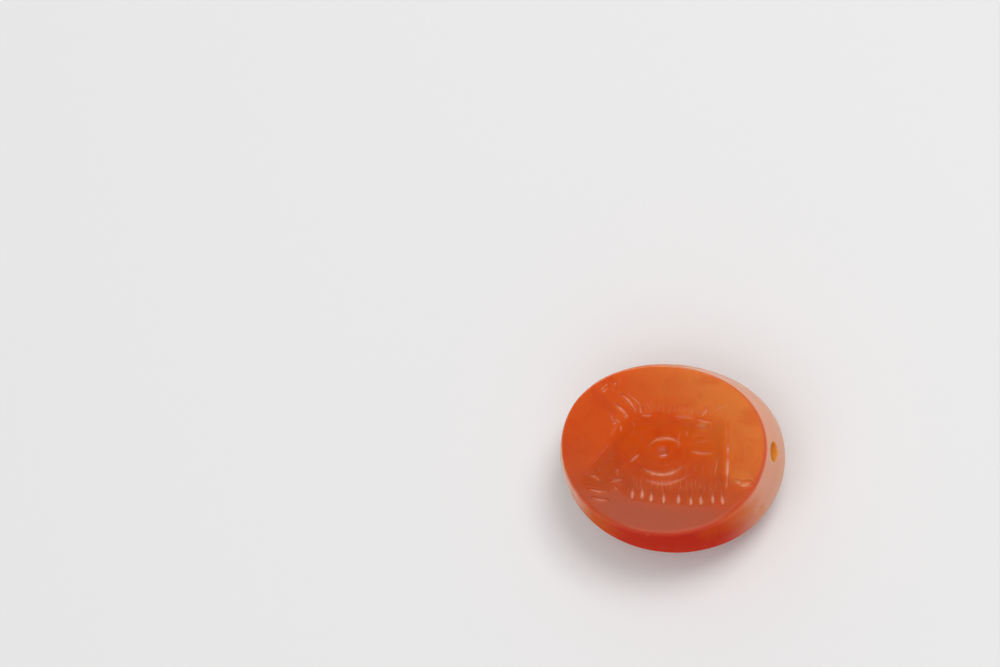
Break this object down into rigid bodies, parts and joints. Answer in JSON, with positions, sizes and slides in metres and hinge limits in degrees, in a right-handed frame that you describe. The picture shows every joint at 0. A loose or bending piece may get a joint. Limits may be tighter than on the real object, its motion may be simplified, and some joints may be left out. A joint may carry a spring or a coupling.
{
  "type": "scaraboid seal",
  "caption": "Oval stamp seal of translucent orange stone with a horned animal's head cut into its convex face, a domed back and a string hole through its length.",
  "frame": {"origin": "middle of the small flat under the domed back, on which the seal lies face up", "axes": "+X along the string hole and the face's length, towards the end with the flake; +Y towards the top of the engraved head; +Z out of the engraved face"},
  "size_m": [0.0147, 0.0123, 0.0081],
  "materials": {
    "carnelian": "polished"
  },
  "bodies": {
    "root": {"seal": "carnelian"}
  },
  "joints": []
}
